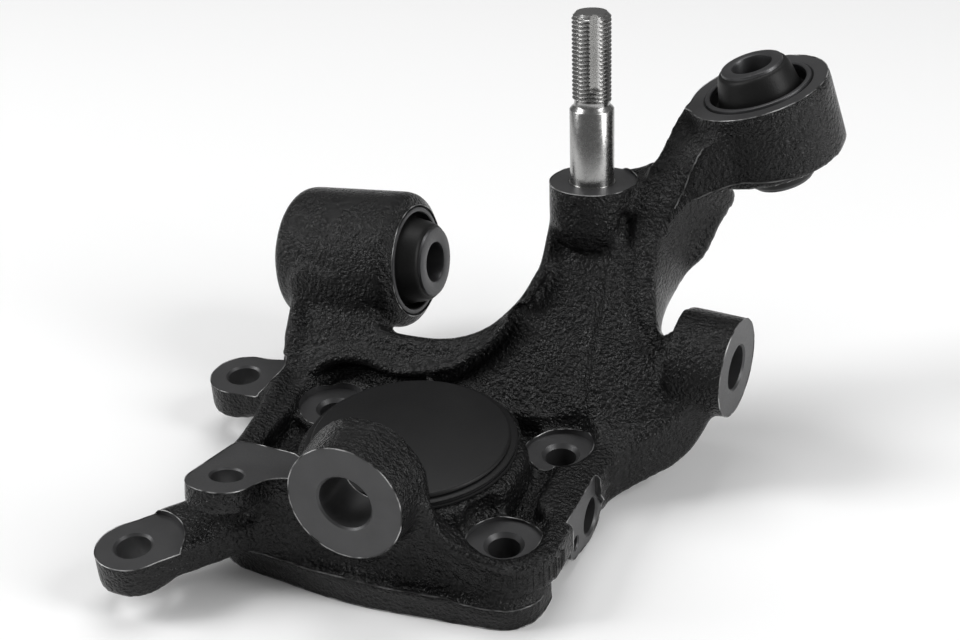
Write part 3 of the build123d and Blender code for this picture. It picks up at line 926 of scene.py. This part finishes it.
    def edge_wear_and_painted_highlight_lines(self, body: bpy.types.Object, bare: bpy.types.Material) -> bpy.types.Object:
        """Thin bare lines along the edges of the cut faces, none below the underside; they are light enough
        to paint a highlight on those edges.

        Args:
            body: the finished casting.
            bare: the metal under the coating, light enough to be a painted edge highlight.

        Returns:
            The lines as one object.
        """
        radius = 0.2
        lines = []
        for line in border_lines(body, least=12.0, step=0.9):
            raised = [Vector((p.x, p.y, max(p.z, radius * MM))) for p in line]
            lines.append(rope(raised, radius))
        # These lines paint a bright highlight along the cut faces' edges, as well as showing worn metal.
        piece = to_object(merge(lines), "knuckle_edge_wear_and_painted_highlights", [bare], 80)
        finish_piece(piece, "coated_iron")
        return piece


@dataclass
class MouldSeams:
    """Thin lines that trimming leaves along the mould's parting, laid on the skin."""

    body: bpy.types.Object
    radius: float = 0.28

    def on_skin(self, point: Vector) -> Vector:
        """The skin's nearest point.

        Args:
            point: a point in metres.

        Returns:
            The point on the skin, in metres.
        """
        hit, place, _, _ = self.body.closest_point_on_mesh(point)
        return place if hit else point

    def line(self, points: list[tuple], steps: int = 8) -> bmesh.types.BMesh:
        """A seam through points near the skin, in millimetres."""
        return rope([self.on_skin(mm(*p)) for p in smooth_line(points, steps)], self.radius, 6)

    def strokes(self, points: list[tuple], stroke: tuple, count: int) -> list[bmesh.types.BMesh]:
        """Short grinding strokes across a line.

        Args:
            points: the line in millimetres.
            stroke: one stroke's direction and length in millimetres.
            count: how many there are.

        Returns:
            The strokes.
        """
        line = smooth_line(points, 12)
        made = []
        for k in range(count):
            x, y, z = line[round(k * (len(line) - 1) / (count - 1))]
            grown = 0.75 + 0.25 * math.sin(2.4 * k)
            path = [mm(x + stroke[0] * t * grown, y + stroke[1] * t * grown, z + stroke[2] * t * grown)
                    for t in (-0.5, -0.25, 0, 0.25, 0.5)]
            made.append(rope([self.on_skin(p) for p in path], self.radius, 6))
        return made

    def build(self, bare: bpy.types.Material, coat: bpy.types.Material) -> None:
        """Lay the seams and the strokes.

        Args:
            bare: the metal of the seams.
            coat: the coating over the strokes.
        """
        flange = [(-44, -48.4, 10.6), (-20, -51, 11.2), (0, -52, 11.4), (15, -51.2, 11.4), (25, -50, 11.2),
                  (33, -49, 10.6), (39, -48.4, 9.2), (46, -47.4, 8.4), (55, -45.8, 8.4), (62, -38.5, 7.9),
                  (63.8, -33, 7.5)]
        crest = [(68.3, 86, 91.2), (70.7, 88, 97.6), (72.6, 89, 104.3), (75, 90.2, 110.6), (76.7, 91, 114.1)]
        foot = [(74, 89.5, 93.6), (80, 91.8, 96.4), (88, 93.2, 99.4), (98, 94.6, 101.6), (108, 97.5, 103.6)]
        seams = [self.line(line) for line in (flange, crest, foot)]
        piece = to_object(merge(seams), "knuckle_seams", [bare], 80)
        finish_piece(piece, "coated_iron")
        corner = [(46, -45, 18), (54, -43.4, 18), (60.5, -38.6, 18), (64.6, -31, 18), (65.6, -24, 18)]
        arm = [(65.2, 83.6, 84), (68.5, 86, 88.6), (71.6, 88.4, 93.4), (75, 90.4, 97.4)]
        strokes = [*self.strokes(corner, (0, 0, 8.5), 19), *self.strokes(arm, (2.6, 0.5, -6), 10)]
        piece = to_object(merge(strokes), "knuckle_trim_strokes", [coat], 80)
        finish_piece(piece, "coated_iron")


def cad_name(node: str) -> str:
    """The Blender name of a CAD node."""
    return FRAME["nodes"][node].name


# ------------------------------------------------------------------ bushes
class Side(Enum):
    """The two bushes of the knuckle."""

    LEFT = "left"
    RIGHT = "right"


@dataclass
class Bush:
    """A bonded bush: outer sleeve, rubber and inner sleeve on one axis."""

    side: Side
    place: AxisFrame
    length: float
    outer: float
    inner: float
    bore: float
    proud: float
    back: float
    wall: float = 1.8

    def sleeve(self, steel: bpy.types.Material) -> None:
        """The inner sleeve, with small rounds on its edges.

        Args:
            steel: the sleeve's metal.
        """
        top, end, b, r = self.proud, -self.length - self.back, self.bore, self.inner
        outline = [(b, top - 1.0), (b + 0.3, top - 0.3), (b + 1.0, top), (r - 0.8, top), (r - 0.2, top - 0.2),
                   (r, top - 0.8), (r, end + 0.8), (r - 0.2, end + 0.2), (r - 0.8, end), (b + 1.0, end),
                   (b + 0.3, end + 0.3), (b, end + 1.0)]
        piece = to_object(lathe(outline, self.place), self.side.value + "_inner_sleeve_look", [steel])
        finish_piece(piece, "sleeve_steel", self.side.value + "_bush_inner_sleeve")

    def rubber(self, rubber: bpy.types.Material) -> None:
        """The rubber, dished at both ends.

        Args:
            rubber: the moulded rubber.
        """
        r, w, n = self.inner, self.outer - self.wall, self.length
        ends = []
        for proud in (self.proud, self.back):
            ends.append([(r, proud - 1.2), (r + 0.9, proud - 1.4), (r + 1.5, proud - 2.2),
                         (r + 2.3, proud - 4.6), (r + 3.2, 0.3), (r + 3.8, -2.2), (r + 4.3, -3.6),
                         (w - 0.9, -3.8), (w - 0.3, -2.6), (w, -1.2)])
        outline = ends[0] + [(x, -n - z) for x, z in reversed(ends[1])]
        piece = to_object(lathe(outline, self.place), self.side.value + "_rubber_look", [rubber], 60)
        finish_piece(piece, "bush_rubber", self.side.value + "_bush_rubber")

    def shell(self, steel: bpy.types.Material) -> None:
        """The outer sleeve, a little proud of its housing.

        Args:
            steel: the sleeve's metal.
        """
        o, w, n = self.outer, self.outer - self.wall, self.length
        half = [(w, 0.5), (w + 0.3, 0.8), (o - 0.5, 0.8), (o - 0.1, 0.6), (o, 0.2)]
        outline = half + [(x, -n - z) for x, z in reversed(half)]
        piece = to_object(lathe(outline, self.place), self.side.value + "_outer_sleeve_look", [steel])
        finish_piece(piece, "sleeve_steel", self.side.value + "_bush_outer_sleeve")


# ------------------------------------------------------------------ stud
@dataclass
class ShockStud:
    """The pressed stud with its rolled thread and the V groove along it."""

    place: AxisFrame
    shank: float = 8.0
    shank_length: float = 29.0
    press: float = PRESS_DEPTH
    press_radius: float = PRESS_RADIUS
    neck: float = 6.5
    neck_length: float = 2.0
    major: float = 7.0
    minor: float = 6.15
    pitch: float = 1.5
    rows_per_turn: int = 8
    thread_length: float = 31.5
    slot_depth: float = 2.5
    slot_turn: float = -61.0
    slot_length: float = 27.0

    def thread_radius(self, height: float, angle: float) -> float:
        """The thread's radius at a height over its start and an angle.

        Args:
            height: over the thread's start, in millimetres.
            angle: round the stud, in radians.

        Returns:
            The radius in millimetres.
        """
        phase = (height / self.pitch - angle / math.tau) % 1.0
        ramp = min(1.0, max(0.0, 1.35 * (1 - abs(2 * phase - 1)) - 0.12))
        radius = self.minor + (self.major - self.minor) * ramp
        chamfer = self.major - max(0.0, height - (self.thread_length - 1.6)) * 0.95
        return min(radius, chamfer)

    def build(self, steel: bpy.types.Material, milled: bpy.types.Material) -> bpy.types.Object:
        """Turn the shank, roll the thread and mill the groove.

        Args:
            steel: the turned metal.
            milled: the groove's metal.

        Returns:
            The stud.
        """
        base = self.shank_length + self.neck_length
        rows = int(self.thread_length / self.pitch * self.rows_per_turn)
        profile = [(0, -self.press), (self.press_radius - 0.5, -self.press),
                   (self.press_radius, -self.press + 0.5), (self.press_radius, 0), (self.shank, 0),
                   (self.shank, self.shank_length - 1.6), (self.shank - 0.3, self.shank_length - 1.2),
                   (self.neck + 0.2, self.shank_length - 0.1), (self.neck, self.shank_length + 0.3)]
        profile += [(self.major, base + self.thread_length * i / rows) for i in range(rows + 1)]
        profile.append((0, base + self.thread_length))
        upright = AxisFrame(mm(0, 0, 0), UP)
        bm = lathe(profile, upright, 72)
        for vert in bm.verts:
            z = vert.co.z / MM - base
            r = vert.co.xy.length
            if z >= -1e-4 and r > 0.001:
                turn = math.atan2(vert.co.y, vert.co.x)
                vert.co.xy *= self.thread_radius(z, turn) * MM / r
        bmesh.ops.transform(bm, matrix=self.place.matrix(), verts=bm.verts)
        stud = to_object(bm, "shock_stud_look", [steel, milled], 50)
        cut(stud, self.slot_tool(base))
        shade(stud.data, 40)
        finish_piece(stud, "stud_steel", "shock_stud")
        return stud

    def slot_tool(self, base: float) -> bmesh.types.BMesh:
        """The V cutter, laid along the thread.

        Args:
            base: the thread's start over the tower's face, in millimetres.

        Returns:
            A closed mesh in the part's frame.
        """
        d = self.slot_depth
        start = base + self.thread_length - self.slot_length
        outline = [(self.major - d, 0), (self.major + d, -2 * d), (self.major + d, 2 * d)]
        turn = math.radians(self.slot_turn)
        cosine, sine = math.cos(turn), math.sin(turn)
        turned = [(x * cosine - y * sine, x * sine + y * cosine) for x, y in outline]
        place = AxisFrame(self.place.origin + self.place.direction * start * MM, self.place.direction)
        return prism(turned, self.slot_length + 3, place)


# ------------------------------------------------------------------ cap
@dataclass
class DustCap:
    """The pressed dust cap with its stepped rim."""

    lip: float = 30.5
    top: float = 35.0
    radius: float = 35.0
    rim: float = 37.5
    seat: float = 34.0
    skirt: float = 10.0

    def build(self, paint: bpy.types.Material) -> bpy.types.Object:
        """Turn the cap.

        Args:
            paint: the cap's finish.

        Returns:
            The cap.
        """
        z, r, m, t = self.lip, self.radius, self.rim, self.top
        outline = [(0, t - 3), (29.2, t - 3), (30.6, t - 3.6), (31, t - 4.8), (31, z - self.skirt),
                   (self.seat, z - self.skirt), (self.seat, z), (m - 0.2, z), (m, z + 0.2), (m, z + 0.8),
                   (m - 0.2, z + 0.95), (m - 0.9, z + 1.0), (m - 1.0, z + 1.5), (m - 0.6, z + 1.7),
                   (m - 0.4, z + 1.9), (m - 0.4, z + 2.4), (m - 0.7, z + 2.6), (r - 0.9, z + 2.6),
                   (r - 0.9, z + 2.9), (r - 0.2, z + 3.1), (r, z + 3.3), (r - 0.1, t - 0.6),
                   (r - 0.4, t - 0.2), (r - 1.0, t), (0, t)]
        piece = to_object(lathe(outline, HUB, 192), "hub_dust_cap_look", [paint])
        finish_piece(piece, "cap_metal", "hub_dust_cap")
        return piece


# ------------------------------------------------------------------ studio
@dataclass
class Studio:
    """White floor, soft lights and the camera."""

    azimuth: float = 24.724
    elevation: float = 31.241
    roll: float = -3.405
    eye: tuple = (216.81, -407.33, 359.44)
    focal_px: float = 1616.7
    width_px: float = 960.0
    sensor_mm: float = 36.0

    def camera(self) -> None:
        """Place the camera."""
        a, e, t = (math.radians(v) for v in (self.azimuth, self.elevation, self.roll))
        ahead = Vector((-math.sin(a) * math.cos(e), math.cos(a) * math.cos(e), -math.sin(e)))
        side = Vector((math.cos(a), math.sin(a), 0))
        top = side.cross(ahead)
        right = math.cos(t) * side + math.sin(t) * top
        head = -math.sin(t) * side + math.cos(t) * top
        data = bpy.data.cameras.new("camera")
        data.sensor_width = self.sensor_mm
        data.lens = self.sensor_mm * self.focal_px / self.width_px
        data.clip_end = 20.0
        camera = bpy.data.objects.new("camera", data)
        bpy.context.collection.objects.link(camera)
        turn = Matrix((right, head, -ahead)).transposed().to_4x4()
        camera.matrix_world = Matrix.Translation(mm(*self.eye)) @ turn
        bpy.context.scene.camera = camera

    def lamp(self, name: str, place: tuple, aim: tuple, size: tuple, power: float) -> None:
        """Add one soft area lamp.

        Args:
            name: its name.
            place: its position in metres.
            aim: the point it faces.
            size: its width and height in metres.
            power: watts.
        """
        data = bpy.data.lights.new(name, "AREA")
        data.shape = "RECTANGLE"
        data.size, data.size_y = size
        data.energy = power
        lamp = bpy.data.objects.new(name, data)
        bpy.context.collection.objects.link(lamp)
        lamp.location = place
        lamp.rotation_mode = "QUATERNION"
        lamp.rotation_quaternion = (Vector(aim) - Vector(place)).to_track_quat("-Z", "Y")

    def floor(self) -> None:
        """A white floor that stays white behind the object."""
        g = Graph("studio_floor")
        g.shader.inputs["Base Color"].default_value = (0.97, 0.97, 0.97, 1)
        g.shader.inputs["Roughness"].default_value = 0.9
        bm = bmesh.new()
        bmesh.ops.create_grid(bm, x_segments=1, y_segments=1, size=4.0)
        floor = to_object(bm, "floor", [g.material])
        floor.location.z = -0.0002

    def world(self) -> None:
        """A white surround, dimmer on the object than behind it."""
        world = bpy.data.worlds.new("studio")
        bpy.context.scene.world = world
        world.use_nodes = True
        tree = world.node_tree
        tree.nodes.clear()
        path = tree.nodes.new("ShaderNodeLightPath")
        seen = tree.nodes.new("ShaderNodeBackground")
        soft = tree.nodes.new("ShaderNodeBackground")
        soft.inputs["Color"].default_value = (1, 1, 1, 1)
        seen.inputs["Color"].default_value = (1, 1, 1, 1)
        seen.inputs["Strength"].default_value = 1.0
        soft.inputs["Strength"].default_value = 0.18
        mix = tree.nodes.new("ShaderNodeMixShader")
        out = tree.nodes.new("ShaderNodeOutputWorld")
        tree.links.new(path.outputs["Is Camera Ray"], mix.inputs["Fac"])
        tree.links.new(soft.outputs[0], mix.inputs[1])
        tree.links.new(seen.outputs[0], mix.inputs[2])
        tree.links.new(mix.outputs[0], out.inputs["Surface"])

    def build(self) -> None:
        """Set up everything round the object."""
        self.camera()
        self.floor()
        self.world()
        aim = (0, 0.03, 0.06)
        self.lamp("left", (-1.15, -0.4, 0.95), aim, (0.45, 1.1), 14)
        self.lamp("right", (1.2, -0.02, 0.7), aim, (0.45, 1.1), 12)
        self.lamp("top", (-0.1, 0.45, 1.4), aim, (0.9, 0.7), 7)
        bpy.context.scene.view_settings.view_transform = "Standard"


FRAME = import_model()


def main() -> None:
    """Build the looks piece by piece."""
    logging.basicConfig(level=logging.INFO, format="%(name)s %(message)s")
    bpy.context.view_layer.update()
    cast, machined = CoatedCasting().build(), MachinedFace().build()
    rubber, sleeve = BushRubber().build(), SleeveSteel().build()
    casting = KnuckleCasting()
    # The bright edge material paints highlights along the cut faces' edges over worn metal.
    body, bare = casting.build(cast, machined), BareEdge("worn_edge_painted_highlight", 0.42).build()
    casting.edge_wear_and_painted_highlight_lines(body, bare)
    MouldSeams(body).build(BareEdge("worn_seam", 0.16).build(), cast)
    bushes = [
        Bush(Side.LEFT, LEFT_BUSH, length=LEFT_LENGTH, outer=LEFT_RADIUS, inner=13.3, bore=7.5,
             proud=LEFT_PROUD, back=5.0),
        Bush(Side.RIGHT, RIGHT_BUSH, length=RIGHT_LENGTH, outer=RIGHT_RADIUS, inner=11.2, bore=7.1,
             proud=9.5, back=9.0),
    ]
    for bush in bushes:
        bush.sleeve(sleeve)
        bush.rubber(rubber)
        bush.shell(sleeve)
    ShockStud(STUD).build(StudSteel("stud_steel", 0.44).build(), StudSteel("stud_groove_steel", 0.75).build())
    DustCap().build(CapPaint().build())
    Studio().build()


if __name__ == "__main__":
    main()
